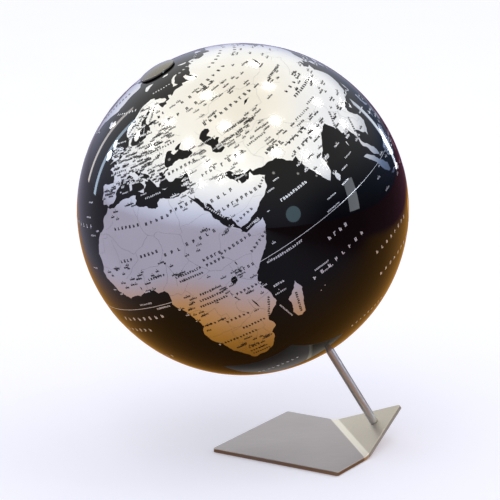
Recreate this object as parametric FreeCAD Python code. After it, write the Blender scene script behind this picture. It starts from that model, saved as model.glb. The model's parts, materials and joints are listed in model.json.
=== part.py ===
import FreeCAD, Part

import math
import os

from FreeCAD import Rotation, Vector

# Desktop globe on a bent steel stand, as separate solids. Lengths are in millimetres.
#
# A rhombus of stainless plate lies on the table on four thin pads, and its rear corner is
# bent up into a wing. A straight rod stands square on the wing, so it leans by the angle of
# the bend, and runs on through the globe as its axle. The globe is two acrylic hemispheres
# glued over an inner ring, with a moulded hub and a plain bush at each pole. It rests on the
# rod's shoulder at the south pole and turns freely. A thin nut sets its end play at the north
# pole, under a domed steel cap that is screwed to the axle and stays still with the rod.
#
# Frame: origin on the table at the centre of the object's outline, +Z up, +X towards the
# wing's tip. The axis leans towards -X, and everything is symmetric about the XZ plane.

# ---- Driving dimensions -------------------------------------------------------------------

globe_radius = 150.0
shell_wall = 2.5

lean_deg = 31.0  # bend of the plate, and so the lean of the rod and of the globe's axis
plate_thickness = 3.5
plate_half_length = 95.5  # half the rhombus's diagonal along X, before the bend
plate_half_width = 89.5  # half its diagonal along Y
bend_offset = 39.0  # from the short diagonal to the line where the two top planes meet
bend_inner_radius = 14.5
corner_radius = 2.5
edge_break = 0.4  # small chamfer round the plate's upper edge

rod_diameter = 8.0
rod_exposed = 98.0  # from the wing to the globe's surface
rod_foot_offset = 26.2  # from the bend line to the rod's centre, up the wing
rod_chamfer = 0.5
axle_diameter = 6.0  # the rod is turned down to this inside the globe

pad_diameter = 14.0
pad_thickness = 1.0
pad_inset = 21.0  # from a corner of the flat panel to the centre of its pad

screw_diameter = 5.0
screw_length = 16.0
screw_head_diameter = 10.0
screw_socket_width = 3.0  # across the flats of the hexagon socket
screw_socket_depth = 1.8
tapped_extra = 3.0  # depth of the rod's tapped hole beyond the screw's tip

recess_depth = 7.0  # from the globe's surface to the seat of the bush's flange
recess_floor = 3.5
hub_bore = 12.0
hub_bore_length = 12.0
hub_flange_diameter = 50.0
hub_flange_wall = 3.0
bush_lip = 2.5  # how far the bush's flange stands out past the bore
bush_flange = 1.5
clip_width = 1.0
clip_depth = 0.8  # depth of the groove in the bush
clip_band = 1.6  # radial width of the clip
washer_diameter = 14.0
washer_thickness = 1.0
tube_wall = 1.5
tube_socket = 10.0  # how far the tube goes into each hub
sleeve_wall = 2.0  # of the hub, round the tube

seam_ring_height = 16.0
seam_ring_wall = 2.0

nut_across_flats = 10.0
nut_thickness = 3.2
cap_diameter = 34.0
cap_gap = 0.9  # between the globe and the cap
cap_rise = 3.2  # thickness of the cap at its centre
cap_rim = 1.3  # thickness of the cap at its rim
cap_boss_diameter = 12.0
cap_hole_depth = 1.2  # how far the axle goes into the cap above its underside
cap_rim_round = 0.5

running_gap = 0.05  # radial clearance between axle and bush
face_gap = 0.1  # axial clearance between turning faces
hole_gap = 0.15  # clearance round a screw or a glued tube

# ---- Derived places -----------------------------------------------------------------------

lean = math.radians(lean_deg)
globe_inner = globe_radius - shell_wall
axis_dir = Vector(-math.sin(lean), 0, math.cos(lean))
wing_dir = Vector(math.cos(lean), 0, math.sin(lean))

# The wing's far corner, where its rounding starts to be the furthest point.
corner_half_angle = math.atan2(plate_half_width, plate_half_length)
corner_loss = corner_radius * (1 / math.sin(corner_half_angle) - 1)
wing_length = plate_half_length - bend_offset - corner_loss
wing_reach = wing_length * math.cos(lean) + plate_thickness * math.sin(lean)

# X of the bend, so that the whole object is centred on the origin. Its furthest point along
# +X, measured from the bend, is the wing's corner or the side of the globe.
foot_to_centre = rod_exposed + globe_radius
rod_lean_x = foot_to_centre * math.sin(lean)
foot_x = rod_foot_offset * math.cos(lean)
globe_reach = foot_x - rod_lean_x + globe_radius
bend_x = (rod_lean_x - foot_x + globe_radius - max(wing_reach, globe_reach)) / 2

plate_top = pad_thickness + plate_thickness
bend_line = Vector(bend_x, 0, plate_top)
rod_foot = bend_line + wing_dir * rod_foot_offset
globe_centre = rod_foot + axis_dir * foot_to_centre
bend_tangent = bend_inner_radius * math.tan(lean / 2)
panel_centre_x = bend_x - bend_offset

# Places along the globe's axis, measured from its centre, north positive.
recess_seat = globe_radius - recess_depth
bush_face = recess_seat + bush_flange
washer_seat = bush_face + face_gap
nut_seat = washer_seat + washer_thickness
shoulder = -nut_seat
boss_seat = nut_seat + nut_thickness
cap_under = globe_radius + cap_gap
axle_tip = cap_under + cap_hole_depth
bore_end = recess_seat - hub_bore_length  # the clip bears on the hub here
bush_end = bore_end - 2.5 * clip_width
tube_half = bush_end - clip_width
hub_inner = tube_half - tube_socket

# Radii of the nested pieces at each pole.
tube_radius = hub_bore / 2 + 2.0
sleeve_bore = tube_radius + hole_gap
bush_flange_radius = hub_bore / 2 + bush_lip
recess_radius = bush_flange_radius + 2.0
hub_radius = recess_radius + 1.5


# ---- Helpers ------------------------------------------------------------------------------


def half_width(station):
    """Half the rhombus's width at a distance from its short diagonal, before bending."""
    return plate_half_width * (1 - abs(station) / plate_half_length)


def lathe(points):
    """A solid of revolution about the globe's axis, from (radius, height) points."""
    wire = Part.makePolygon([Vector(r, 0, h) for r, h in points + points[:1]])
    return Part.Face(wire).revolve(Vector(0, 0, 0), Vector(0, 0, 1), 360)


def tube_solid(outer_r, inner_r, low, high):
    """A plain ring about the globe's axis between two heights."""
    return lathe([(inner_r, low), (outer_r, low), (outer_r, high), (inner_r, high)])


def ball(radius):
    return Part.makeSphere(radius)


def cylinder(radius, low, high):
    return Part.makeCylinder(radius, high - low, Vector(0, 0, low))


def hexagon(across_flats, low, high):
    """A hexagonal prism about the Z axis."""
    radius = across_flats / math.sqrt(3)
    turns = [math.radians(60 * k) for k in range(7)]
    corners = [Vector(radius * math.cos(a), radius * math.sin(a), low) for a in turns]
    return Part.Face(Part.makePolygon(corners)).extrude(Vector(0, 0, high - low))


def flip(shape):
    """The same piece turned end for end, for the south pole."""
    turned = shape.copy()
    turned.rotate(Vector(0, 0, 0), Vector(1, 0, 0), 180)
    return turned


def on_axis(shape, origin):
    """Carries a piece from the upright axis at the origin to the leaning one through a point."""
    placed = shape.copy()
    turn = Rotation(Vector(0, 1, 0), -lean_deg)
    placed.Placement = FreeCAD.Placement(origin, turn).multiply(placed.Placement)
    return placed


def rounded_outline(corners):
    """A closed wire through (x, y, radius) corners, each rounded by a tangent arc."""
    edges = []
    joints = []
    count = len(corners)
    for k, (x, y, radius) in enumerate(corners):
        here = Vector(x, y, 0)
        before = Vector(*corners[k - 1][:2], 0) - here
        after = Vector(*corners[(k + 1) % count][:2], 0) - here
        before.normalize()
        after.normalize()
        if radius == 0:
            joints.append((here, here, None))
            continue
        half = before.getAngle(after) / 2
        reach = radius / math.tan(half)
        middle = before + after
        middle.normalize()
        apex = here + middle * (radius / math.sin(half) - radius)
        joints.append((here + before * reach, here + after * reach, apex))
    for k, (start, end, apex) in enumerate(joints):
        if apex is not None:
            edges.append(Part.Arc(start, apex, end).toShape())
        edges.append(Part.makeLine(end, joints[(k + 1) % count][0]))
    return Part.Wire(edges)


# ---- The stand ----------------------------------------------------------------------------


def flat_panel():
    """The panel that lies on the table, up to the start of the bend."""
    end_x = bend_x - bend_tangent
    end_w = half_width(bend_offset - bend_tangent)
    outline = rounded_outline(
        [
            (panel_centre_x - plate_half_length, 0, corner_radius),
            (panel_centre_x, -plate_half_width, corner_radius),
            (end_x, -end_w, 0),
            (end_x, end_w, 0),
            (panel_centre_x, plate_half_width, corner_radius),
        ]
    )
    outline.translate(Vector(0, 0, pad_thickness))
    return Part.Face(outline).extrude(Vector(0, 0, plate_thickness))


def bend_zone():
    """The rolled strip between the two panels, as a loft of upright sections."""
    steps = 6
    pivot = Vector(bend_x - bend_tangent, 0, plate_top + bend_inner_radius)
    start_w = half_width(bend_offset - bend_tangent)
    end_w = half_width(bend_offset + bend_tangent)
    sections = []
    for k in range(steps + 1):
        share = k / steps
        turn = lean * share
        out = Vector(math.sin(turn), 0, -math.cos(turn))
        side = Vector(0, start_w + (end_w - start_w) * share, 0)
        inner = pivot + out * bend_inner_radius
        outer = pivot + out * (bend_inner_radius + plate_thickness)
        ring = [inner - side, inner + side, outer + side, outer - side, inner - side]
        sections.append(Part.makePolygon(ring))
    return Part.makeLoft(sections, True, False)


def wing_panel():
    """The raised panel that carries the rod, drawn flat and then tipped up."""
    start_w = half_width(bend_offset + bend_tangent)
    tip = plate_half_length - bend_offset
    outline = rounded_outline(
        [(bend_tangent, -start_w, 0), (tip, 0, corner_radius), (bend_tangent, start_w, 0)]
    )
    panel = Part.Face(outline).extrude(Vector(0, 0, -plate_thickness))
    return on_axis(panel, bend_line)


def screw_hole():
    """The clearance hole and countersink for the rod's screw, from under the wing."""
    shank_r = screw_diameter / 2 + hole_gap
    head_r = screw_head_diameter / 2 + hole_gap
    low = -plate_thickness
    cone = low + head_r - shank_r
    past = 1.0
    profile = [(0, low - past), (head_r, low - past), (head_r, low)]
    profile += [(shank_r, cone), (shank_r, past), (0, past)]
    return on_axis(lathe(profile), rod_foot)


def upper_edges(plate):
    """The edges of the plate's outline that lie in either top plane."""

    def on_top(point):
        flat = abs(point.z - plate_top) < 1e-4 and point.x < bend_x
        wing = abs((point - bend_line).dot(axis_dir)) < 1e-4 and point.x > bend_x
        return flat or wing

    found = []
    for edge in plate.Edges:
        ends = [v.Point for v in edge.Vertexes]
        across = len(ends) == 2 and abs(ends[0].x - ends[1].x) < 1e-4
        if len(ends) == 2 and all(on_top(p) for p in ends) and not across:
            found.append(edge)
    return found


def base_plate():
    plate = flat_panel().fuse([bend_zone(), wing_panel()]).removeSplitter()
    plate = plate.makeChamfer(edge_break, upper_edges(plate))
    return plate.cut(screw_hole())


def support_rod():
    """The rod: full diameter up to the shoulder, then turned down as the globe's axle."""
    foot = -foot_to_centre
    full_r = rod_diameter / 2
    axle_r = axle_diameter / 2
    profile = [(0, foot), (full_r - rod_chamfer, foot), (full_r, foot + rod_chamfer)]
    profile += [(full_r, shoulder), (axle_r, shoulder), (axle_r, axle_tip - rod_chamfer)]
    profile += [(axle_r - rod_chamfer, axle_tip), (0, axle_tip)]
    tapped_depth = screw_length - plate_thickness + tapped_extra
    tapped = cylinder(screw_diameter / 2, foot, foot + tapped_depth)
    return on_axis(lathe(profile).cut(tapped), globe_centre)


def rod_screw():
    """Countersunk socket screw that pulls the rod down onto the wing."""
    shank_r = screw_diameter / 2
    head_r = screw_head_diameter / 2
    sunk = hole_gap  # the head's face sits just inside the wing's underside
    low = -plate_thickness + sunk
    cone = low + head_r - shank_r
    tip = low + screw_length
    profile = [(0, low), (head_r, low), (shank_r, cone), (shank_r, tip - 1)]
    profile += [(shank_r - 1, tip), (0, tip)]
    socket = hexagon(screw_socket_width, low, low + screw_socket_depth)
    return on_axis(lathe(profile).cut(socket), rod_foot)


def foot_pads():
    """Four round pads under the flat panel, by name."""
    places = {
        "foot_pad_tip": (panel_centre_x - plate_half_length + pad_inset, 0),
        "foot_pad_left": (panel_centre_x, plate_half_width - pad_inset),
        "foot_pad_right": (panel_centre_x, -plate_half_width + pad_inset),
        "foot_pad_heel": (bend_x - bend_tangent - pad_diameter, 0),
    }
    radius = pad_diameter / 2
    return {
        name: Part.makeCylinder(radius, pad_thickness, Vector(x, y, 0))
        for name, (x, y) in places.items()
    }


# ---- The globe ----------------------------------------------------------------------------


def hemisphere():
    """The northern shell, with the hole for its hub at the pole."""
    reach = globe_radius + 1
    skin = ball(globe_radius).cut(ball(globe_inner))
    hole = cylinder(hub_radius, 0, reach)
    return skin.common(cylinder(reach, 0, reach)).cut(hole)


def seam_ring():
    """The inner ring that lines up and joins the two hemispheres."""
    half = seam_ring_height / 2
    band = cylinder(globe_radius, -half, half)
    return band.common(ball(globe_inner)).cut(ball(globe_inner - seam_ring_wall))


def hub():
    """The moulded hub in the north pole: recess, bore for the bush, flange and tube sleeve."""
    bore = hub_bore / 2
    sleeve = cylinder(sleeve_bore + sleeve_wall, hub_inner, recess_seat)
    collar = cylinder(hub_radius, recess_seat - recess_floor, globe_radius)
    flange = cylinder(hub_flange_diameter / 2, 0, globe_radius).common(ball(globe_inner))
    flange = flange.cut(ball(globe_inner - hub_flange_wall))
    made = sleeve.fuse([collar.common(ball(globe_radius)), flange])
    made = made.cut(cylinder(recess_radius, recess_seat, globe_radius + 1))
    made = made.cut(cylinder(sleeve_bore, hub_inner - 1, bore_end))
    return made.cut(cylinder(bore, hub_inner, globe_radius)).removeSplitter()


def bush():
    """The plain bearing that runs on the axle, with a flange and a groove for its clip."""
    inner = axle_diameter / 2 + running_gap
    outer = hub_bore / 2
    groove = outer - clip_depth
    points = [(inner, bush_end), (outer, bush_end), (outer, bore_end - clip_width)]
    points += [(groove, bore_end - clip_width), (groove, bore_end), (outer, bore_end)]
    points += [(outer, recess_seat), (bush_flange_radius, recess_seat)]
    points += [(bush_flange_radius, bush_face), (inner, bush_face)]
    return lathe(points)


def bush_clip():
    """The open spring clip in the bush's groove, bearing on the end of the hub's bore."""
    inner = hub_bore / 2 - clip_depth
    opening = 2 * clip_band
    ring = tube_solid(inner + clip_band, inner, bore_end - clip_width, bore_end)
    corner = Vector(0, -opening / 2, bore_end - 2 * clip_width)
    return ring.cut(Part.makeBox(hub_bore, opening, 3 * clip_width, corner))


def central_tube():
    """The tube between the hubs, which guides the axle and ties the poles together."""
    return tube_solid(tube_radius, tube_radius - tube_wall, -tube_half, tube_half)


def washer():
    """The slip washer outside the north bush."""
    inner = axle_diameter / 2 + hole_gap
    return tube_solid(washer_diameter / 2, inner, washer_seat, nut_seat)


def lock_nut():
    """Thin hexagon nut that sets the globe's end play."""
    blank = hexagon(nut_across_flats, nut_seat, boss_seat)
    return blank.cut(cylinder(axle_diameter / 2, nut_seat - 1, boss_seat + 1))


def pole_cap():
    """The domed steel cap: a dished disc on a tapped boss."""
    cap_r = cap_diameter / 2
    rim_low = math.sqrt(cap_under**2 - cap_r**2)
    rim_high = rim_low + cap_rim
    crown = cap_under + cap_rise
    drop = crown - rim_high
    dome_r = (cap_r**2 + drop**2) / (2 * drop)
    dome = Part.makeSphere(dome_r, Vector(0, 0, crown - dome_r))
    disc = cylinder(cap_r, rim_low - 1, crown + 1).common(dome)
    rim = [e for e in disc.Edges if abs(e.BoundBox.Center.z - rim_high) < 1e-3]
    rim = [e for e in rim if e.BoundBox.XMax > cap_r - 0.1]
    disc = disc.makeFillet(cap_rim_round, rim).cut(ball(cap_under))
    boss = cylinder(cap_boss_diameter / 2, boss_seat, cap_under + cap_rise / 2)
    axle_hole = cylinder(axle_diameter / 2, boss_seat - 1, axle_tip)
    return disc.fuse(boss).removeSplitter().cut(axle_hole)


# ---- Build --------------------------------------------------------------------------------


def globe_pieces():
    """Everything that is round the axis, at the upright axis through the origin."""
    north = {
        "hemisphere": hemisphere(),
        "hub": hub(),
        "bush": bush(),
        "bush_clip": bush_clip(),
        "washer": washer(),
    }
    pieces = {"north_" + name: shape for name, shape in north.items()}
    pieces.update({"south_" + name: flip(shape) for name, shape in north.items()})
    pieces["seam_ring"] = seam_ring()
    pieces["central_tube"] = central_tube()
    pieces["axle_lock_nut"] = lock_nut()
    pieces["pole_cap"] = pole_cap()
    return {name: on_axis(shape, globe_centre) for name, shape in pieces.items()}


def main():
    parts = {
        "base_plate": base_plate(),
        "support_rod": support_rod(),
        "rod_screw": rod_screw(),
    }
    parts.update(foot_pads())
    parts.update(globe_pieces())
    os.makedirs("parts", exist_ok=True)
    for name, shape in parts.items():
        if not shape.isValid() or len(shape.Solids) != 1:
            raise RuntimeError(name + " is not one valid solid")
        shape.Solids[0].exportStep("parts/" + name + ".step")
        print(name, round(shape.Volume, 1))
    for label, place in (("globe centre", globe_centre), ("rod foot", rod_foot)):
        print(label, [round(c, 4) for c in place])


main()
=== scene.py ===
import json
import math
import random

import bpy
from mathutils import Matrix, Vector, geometry


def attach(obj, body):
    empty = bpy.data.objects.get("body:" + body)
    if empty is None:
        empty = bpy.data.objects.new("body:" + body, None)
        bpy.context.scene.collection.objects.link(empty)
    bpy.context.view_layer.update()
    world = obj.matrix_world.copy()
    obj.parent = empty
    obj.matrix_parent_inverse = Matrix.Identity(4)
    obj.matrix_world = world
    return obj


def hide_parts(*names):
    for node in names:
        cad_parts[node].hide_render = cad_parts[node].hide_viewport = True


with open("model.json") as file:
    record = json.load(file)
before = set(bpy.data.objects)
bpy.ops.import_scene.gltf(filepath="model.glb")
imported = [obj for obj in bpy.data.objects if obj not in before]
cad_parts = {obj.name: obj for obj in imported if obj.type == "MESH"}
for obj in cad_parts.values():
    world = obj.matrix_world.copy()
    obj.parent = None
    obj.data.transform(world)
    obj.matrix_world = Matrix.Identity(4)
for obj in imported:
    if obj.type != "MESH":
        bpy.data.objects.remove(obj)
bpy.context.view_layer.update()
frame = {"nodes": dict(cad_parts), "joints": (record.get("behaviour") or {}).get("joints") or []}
random.seed(7)

# ---- Sizes and places, in metres and degrees, in the row frame ------------------------------

MM = 0.001
GLOBE_R = 150 * MM
GLOBE_INNER_R = 147.5 * MM
HUB_R = 12 * MM  # the opening at each pole
MAP_SPIN = math.radians(-142.1)
MM_PER_DEGREE = GLOBE_R / MM * math.pi / 180  # along a meridian

spin = frame["joints"][0]
GLOBE_CENTRE = Vector(spin["pos_m"])
NORTH = Vector(spin["axis"]).normalized()
LEAN = math.atan2(-NORTH.x, NORTH.z)
SIDE_X = Vector((math.cos(LEAN), 0, math.sin(LEAN)))
SIDE_Y = Vector((0, 1, 0))

LINE_LIFT = 0.05 * MM  # the equator's line, under the foil
FOIL_LIFT = 0.12 * MM
INK_LIFT = 0.22 * MM
GRID_STEP = 2.0  # degrees between the points inside a foil, so that it follows the sphere
GRID_SHIFT = 0.01  # keeps those points off the outlines' corners

# How far the middle of a long stretch of outline may move aside, as a share of its length, and
# the length in degrees from which it is long.
COAST_WANDER = (0.10, 1.0)
SHORE_WANDER = (0.08, 0.8)
BORDER_WANDER = (0.10, 1.2)

# ---- The map, as outlines of longitude and latitude in degrees ------------------------------

LAND = {
    "africa": """32.5 29.9 32.6 29.2 33.2 28.2 34 26.8 34.9 25 35.5 24 35.5 23.1 36.9 22 37.2 21
37.2 19.6 38.5 18 39.1 16 39.7 15.1 41.2 14.6 42.4 13.2 43.2 12.4 43.3 11.5 42.7 11.5
44.3 10.4 45.8 10.8 47.4 11.2 48.9 11.3 51.2 11.9 51 10.4 50.8 9.4 49.8 8 49 6.4 48 4.5
46.6 2.9 45 1.7 43.5 .4 41.6 -1.7 40.2 -2.8 39.4 -4.6 38.8 -6 39.4 -7 39.4 -8 40.4 -10.3
40.6 -12 40.5 -13.5 40.7 -15 39.8 -16.2 38 -17.2 36.8 -18.3 34.9 -19.8 34.7 -20.6 35.5 -22
35.5 -23.8 33.5 -25.2 32.7 -25.9 32.9 -27 32.4 -28.5 31.3 -29.6 30.2 -31.1 28.4 -32.8
25.7 -34 22.2 -34.1 20 -34.8 18.9 -34.3 18.4 -33.5 18.3 -32 17.3 -30.4 16.5 -28.7
15.2 -27 14.9 -25.2 14.5 -22.8 13.4 -20.9 12 -18.2 11.8 -16.2 12.4 -13.8 13.6 -12.2
13.8 -10.8 13 -8.9 12.3 -6.2 11.8 -4.7 10.6 -3.3 9.2 -1.5 8.8 -.7 9.5 .6 9.8 2.3 9.7 3.6
8.9 4.5 7.1 4.4 6.1 4.3 5.4 5.3 4.3 6.4 2.6 6.3 1.2 6.1 -.6 5.3 -2 4.7 -4 5.2 -5.8 5
-7.6 4.4 -9.3 5.4 -11.3 6.8 -12.7 7.7 -13.3 9 -15 10.8 -16.8 12.4 -16.8 13.4 -17.5 14.7
-16.5 15.8 -16.1 17.6 -16.3 19.5 -17 21 -16.2 22.8 -15 25 -14.4 26.3 -13 27.8 -11 28.7
-9.8 29.8 -9.8 31.5 -8.6 33.2 -6.8 34.1 -5.9 35.8 -4.6 35.2 -2 35.1 -.5 35.8 3 36.9
7 36.9 9.8 37.3 11 37 10.6 36.1 11 35.2 10.1 34.3 11.1 33.3 12.3 32.8 15.2 32.3 15.7 31.4
18.6 30.4 19.9 30.7 20 32 21.6 32.9 23.1 32.6 25 31.7 29 30.9 31.3 31.5 34.2 31.3
34.95 29.5 34.5 28.3 34.2 27.75 33.5 28.4 32.7 29.6""",
    "eurasia": """34 31.2 34.9 32.8 35.6 34 35.8 35.6 36 36.8 34.6 36.7 33.9 36.2 32.5 36.1
30.7 36.9 29.2 36.3 27.6 36.8 27.2 37.8 26.3 38.3 26.9 39.2 26.1 39.6 27.6 40.4 29.1 40.6
29.1 41.2 31.2 41.2 33.2 42 35 42.1 36.4 41.3 38.5 41 41.5 41.5 41.4 42.6 39.6 43.6
37.6 44.7 36.9 45.4 38.2 46.5 39.3 47.2 37.4 47 35.2 46.3 34.9 45.8 35.3 45.3 36.5 45.3
35 44.7 33.7 44.4 32.6 45.4 33.5 46 31.6 46.6 30.6 46.3 29.6 45.2 28.6 44 28 42.7 28.1 41.7
29 41.3 28.6 41 27.4 40.8 26.2 40.1 26 40.8 24.4 40.9 24.3 40.1 22.8 40.5 22.8 39.5
24 38 23.1 37.3 22.8 36.6 21.8 36.9 21.4 37.9 20.2 39.4 19.4 40.6 19.5 41.7 17.6 42.8
15.3 43.9 14 45 13.6 45.6 12.3 45.3 12.5 44.2 13.7 43.3 14.4 42.3 16.1 41.7 18.3 40.3
18.4 39.9 17 40.4 16.7 39.6 17.1 39 15.7 37.9 16.1 39 15 40.2 13.3 41.2 11.3 42.3 10.3 43.6
8.8 44.4 7 43.6 4.6 43.4 3.1 43.1 3.1 42 .7 40.8 -.3 39.5 0 38.7 -1 37.6 -2.1 36.8
-4.5 36.6 -5.6 36 -6.4 36.8 -8.9 37 -8.8 38.4 -9.4 38.8 -8.7 41 -9.2 43.1 -8 43.7 -3.8 43.4
-1.6 43.5 -1.2 45.8 -2.6 47.3 -4.6 48.1 -3.2 48.8 -1.6 48.6 -1.8 49.6 -.2 49.3 1.6 50.8
3.6 51.5 4.8 53 7 53.5 8.8 54 8.2 55.6 8.3 57 10.6 57.7 10.4 56.5 9.6 55.2 10.9 54.2
14.2 54 18.6 54.7 21 55.3 21.1 56.8 22.6 57.6 24.2 57 24.4 58.3 23.5 59.2 28 59.5 30 59.9
28.4 60.5 23 59.9 21.4 60.9 21.4 62.4 23.4 64 25.3 65 24 65.8 22 65.3 20.8 63.8 17.6 62.3
17.3 60.7 18.8 59.9 16.8 58.6 16.4 56.8 15.6 56.1 14.2 55.4 12.8 55.7 12 57.4 11 59.2
10.4 59.3 8.4 58.2 6.8 58.1 5.5 59 5 61.5 7.4 62.9 10.2 64.3 12.8 66.6 15 68.3 18 69.5
21.5 70.2 25.7 71 30.5 70.5 30.5 69.7 36 69.1 40.6 67.8 41.2 66.7 38.5 66.1 33.5 66.8
34.9 65 36.5 64 38 64.6 40 64.6 40 65.8 43.8 66.2 43.8 68.4 46.2 67.8 46.5 66.9 53 68.8
59.8 68.5 61 69.7 67 68.9 68.7 68.3 66.9 70.2 68.5 72.7 72.6 72.7 72.2 70.6 73.8 68.2
71.8 66.4 74.8 67.8 74.2 71.2 78 72.3 81 73.6 87 75 98 76.2 104 77.6 112 76.6 110 74
113 73.6 119 73 127 73.5 129.5 71.2 139 72.4 150 71.6 160 69.8 170.5 69.9 180 69 190.2 66.1
187 64.5 181 65.7 178 64.6 179.4 62.5 170.4 60 163.4 59.8 163.2 56.2 160 53.2 156.8 51
155.6 56.6 161 60.1 164 62.4 156.6 61.5 154.5 59.6 143 59.3 135.4 54.7 141.2 53 140.4 48.6
135 43.6 131 42.7 127.6 39.6 129.4 37 129.2 35.3 126.4 34.6 126.6 37.2 124.9 38.1
124.6 39.9 121.3 38.9 122 40.6 119 39.2 117.8 38.7 119 37.3 122.5 37.2 119.4 35 121 32.8
121.9 31 121.9 29.3 119.6 25.8 116.6 23 114 22.4 110.6 21.3 110 20.5 109.6 21.6 106.8 20.6
105.8 19 108.9 15.3 109.3 12.4 107 10.3 105 8.7 104.8 10.2 103.4 10.7 102.2 12.3 100.9 13.4
99.9 12 99.3 9.6 101.5 6.8 103.4 4.6 104.2 1.4 103.3 1.5 101.3 2.9 100.2 5.6 98.3 8.1
98.7 10.4 98.6 13 97.6 16.2 95.4 15.8 94.3 16.2 94.4 18.4 92.2 21.2 91.4 22.7 88.8 21.7
87 21.4 85.2 19.6 82.3 16.8 80.3 15.4 80.3 13.2 79.8 10.4 78.2 8.8 77.5 8.1 76.3 9.8
74.8 12.9 73.4 16.2 72.8 19.3 72.8 21.4 72.2 21.2 70.9 20.8 69.1 22.2 68.3 23.5 66.7 24.9
61.5 25.1 57.2 25.8 56.9 27 54.5 26.6 51.4 27.9 50.2 30.1 48.6 30.2 48.1 29.3 48.9 27.6
50.1 26.6 50.7 24.9 51.2 26.1 51.5 24.4 54.4 24.4 56.2 26.2 56.5 24.5 58.4 23.6 59.8 22.5
57.8 19 56.3 17.9 52.2 15.6 49 14.1 45 12.8 43.5 12.7 42.8 15 42.4 17 39.2 21 38.6 23.6
35.6 27.3 34.7 28 34.9 29.6""",
    "britain": """-5.4 50.1 -1 50.8 1.4 51.2 1.7 52.6 .2 53 -1.6 55 -3 56.1 -1.9 57.5 -4 57.7
-3.1 58.6 -5 58.5 -5.8 57 -4.9 55 -3.2 54.9 -3 53.4 -4.6 53 -4.8 51.8 -3 51.4""",
    "ireland": "-6.3 52.2 -5.6 54.6 -7.4 55.3 -10 54.2 -9.3 53.2 -10.3 52 -8.6 51.6",
    "iceland": "-22.6 63.9 -18.8 63.4 -13.7 65 -16.2 66.5 -20.4 65.7 -22.6 66.4 -24 65.5 -22 64.6",
    "svalbard": "14 77.2 17.5 76.6 21.5 78.4 27 80.1 18 80.2 11 79.4",
    "novaya": "52 71 57.5 70.6 56 72.6 60 74.6 68.5 76.6 64 76.6 57 75.4 54 73.6",
    "severnaya": "95 79.4 100 78.2 105 78.6 99 80.2 95 81.2",
    "new_siberian": "137 75.4 142 73.5 150 75 146 75.6 139 76.1",
    "franz_josef": "48 80.4 58 80 64 80.8 54 81.3",
    "wrangel": "178.6 71 182.3 71.1 180 71.6",
    "sicily": "12.5 38 15.6 38.2 15.1 36.7",
    "sardinia": "8.4 39 9.6 39.2 9.7 41 8.3 40.9",
    "corsica": "8.7 41.6 9.4 41.7 9.4 42.9 8.7 42.5",
    "crete": "23.5 35.5 26.2 35.2 24.8 34.9",
    "cyprus": "32.3 35 33 34.6 34.5 35.6",
    "mallorca": "2.4 39.6 3.1 39.9 3.4 39.6 3 39.3",
    "canaries": "-15.6 28.1 -13.9 28.4 -14 28.8 -16.6 28.6",
    "madagascar": """49.3 -12 50.4 -15.6 49.4 -18 47.9 -22.5 47.1 -24.9 45.4 -25.6 44 -25
43.3 -22.6 44.4 -20 44.3 -16.9 46.2 -15.8 47.9 -14.2 48.2 -13.4""",
    "socotra": "53.3 12.6 54.5 12.5 53.6 12.3",
    "reunion": "55.2 -21 55.8 -21 55.6 -21.4",
    "mauritius": "57.3 -20.1 57.8 -20.2 57.5 -20.6",
    "comoros": "43.2 -11.4 43.6 -11.8 43.3 -12",
    "sri_lanka": "80 9.8 81.2 8.7 81.9 7.2 80.6 5.9 79.9 7.2",
    "andaman": "92.7 13.5 93.1 13.4 92.8 11.6",
    "sumatra": """95.3 5.5 97.5 5.2 100.4 2.8 103.7 -.8 106 -3 105.8 -5.8 104.5 -5.7 102.2 -3.9
100.3 -.9 98.7 1.7 97 3.4""",
    "java": "105.2 -6.7 108.6 -6.7 112.7 -6.9 114.5 -7.8 114.4 -8.7 110 -8.1 106.5 -7.4",
    "sumbawa": "116.8 -8.6 119.6 -8.4 123 -8.4 121 -8.9 117 -9",
    "timor": "123.6 -10.2 127.2 -8.4 126.4 -8.9 124.6 -10.2",
    "borneo": """109 1.5 111.4 2.5 113.2 3.2 116.8 7 119.1 5.3 117.7 3.4 117.9 1 119 1 116.6 -1.6
116.2 -3.9 114.6 -4.1 110.2 -2.8 109 -.4""",
    "sulawesi": """119.8 .6 120.8 1.3 125.2 1.6 124.4 .4 120.4 .5 120.9 -1.2 123.4 -.8 121.8 -1.9
123 -4.2 122.4 -5.3 120.9 -2.9 120.4 -5.5 119.5 -5.4 119.4 -3.4""",
    "halmahera": "127.6 1.7 128.4 1.4 128 -.8 127.5 .4",
    "new_guinea": """131 -.8 134.2 -.8 135.1 -3.3 138 -1.7 144.5 -3.9 147.8 -6 147.2 -6.8
150.8 -10.4 147.6 -10 143.6 -8.9 141 -9.1 138 -8.3 138.2 -6.8 133.2 -4.1 134 -2.4""",
    "new_britain": "148.4 -5.7 152.2 -4.2 151.2 -5.6 149.6 -6.2",
    "luzon": "120.3 16 120.7 18.5 122.3 18.4 121.7 15.6 124 12.8 120.6 13.8",
    "visayas": "122 11.6 123.3 11.2 125.3 12.4 125.2 10.4 122.8 9.3",
    "mindanao": "122.1 7 123.6 8.5 125.6 9.7 126.5 7.2 125.4 5.7",
    "palawan": "117.3 8.4 119.4 11.3 119.4 10.5",
    "taiwan": "120.1 23 121.5 25.2 120.9 22",
    "hainan": "108.7 19.3 110.8 20.1 109.5 18.2",
    "kyushu": "129.8 33.2 131 33.9 131.8 32.8 131 31.2 130.2 31.4",
    "shikoku": "132.5 33.3 134.4 34.3 133.1 32.9",
    "honshu": """131 34.4 133.2 35.5 135.9 35.8 137.1 37.3 139.7 39 140.1 40.7 141.3 41.3
142 39.6 140.9 37 140.3 35.2 137.2 34.6 135.8 33.6 132.4 34""",
    "hokkaido": "140.2 41.7 141.7 45.4 145.3 44.2 143.3 42.1",
    "sakhalin": "142 46.1 142.2 53.5 143 54.3 143.4 49.4 144.6 48.8 143.4 46.2",
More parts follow.
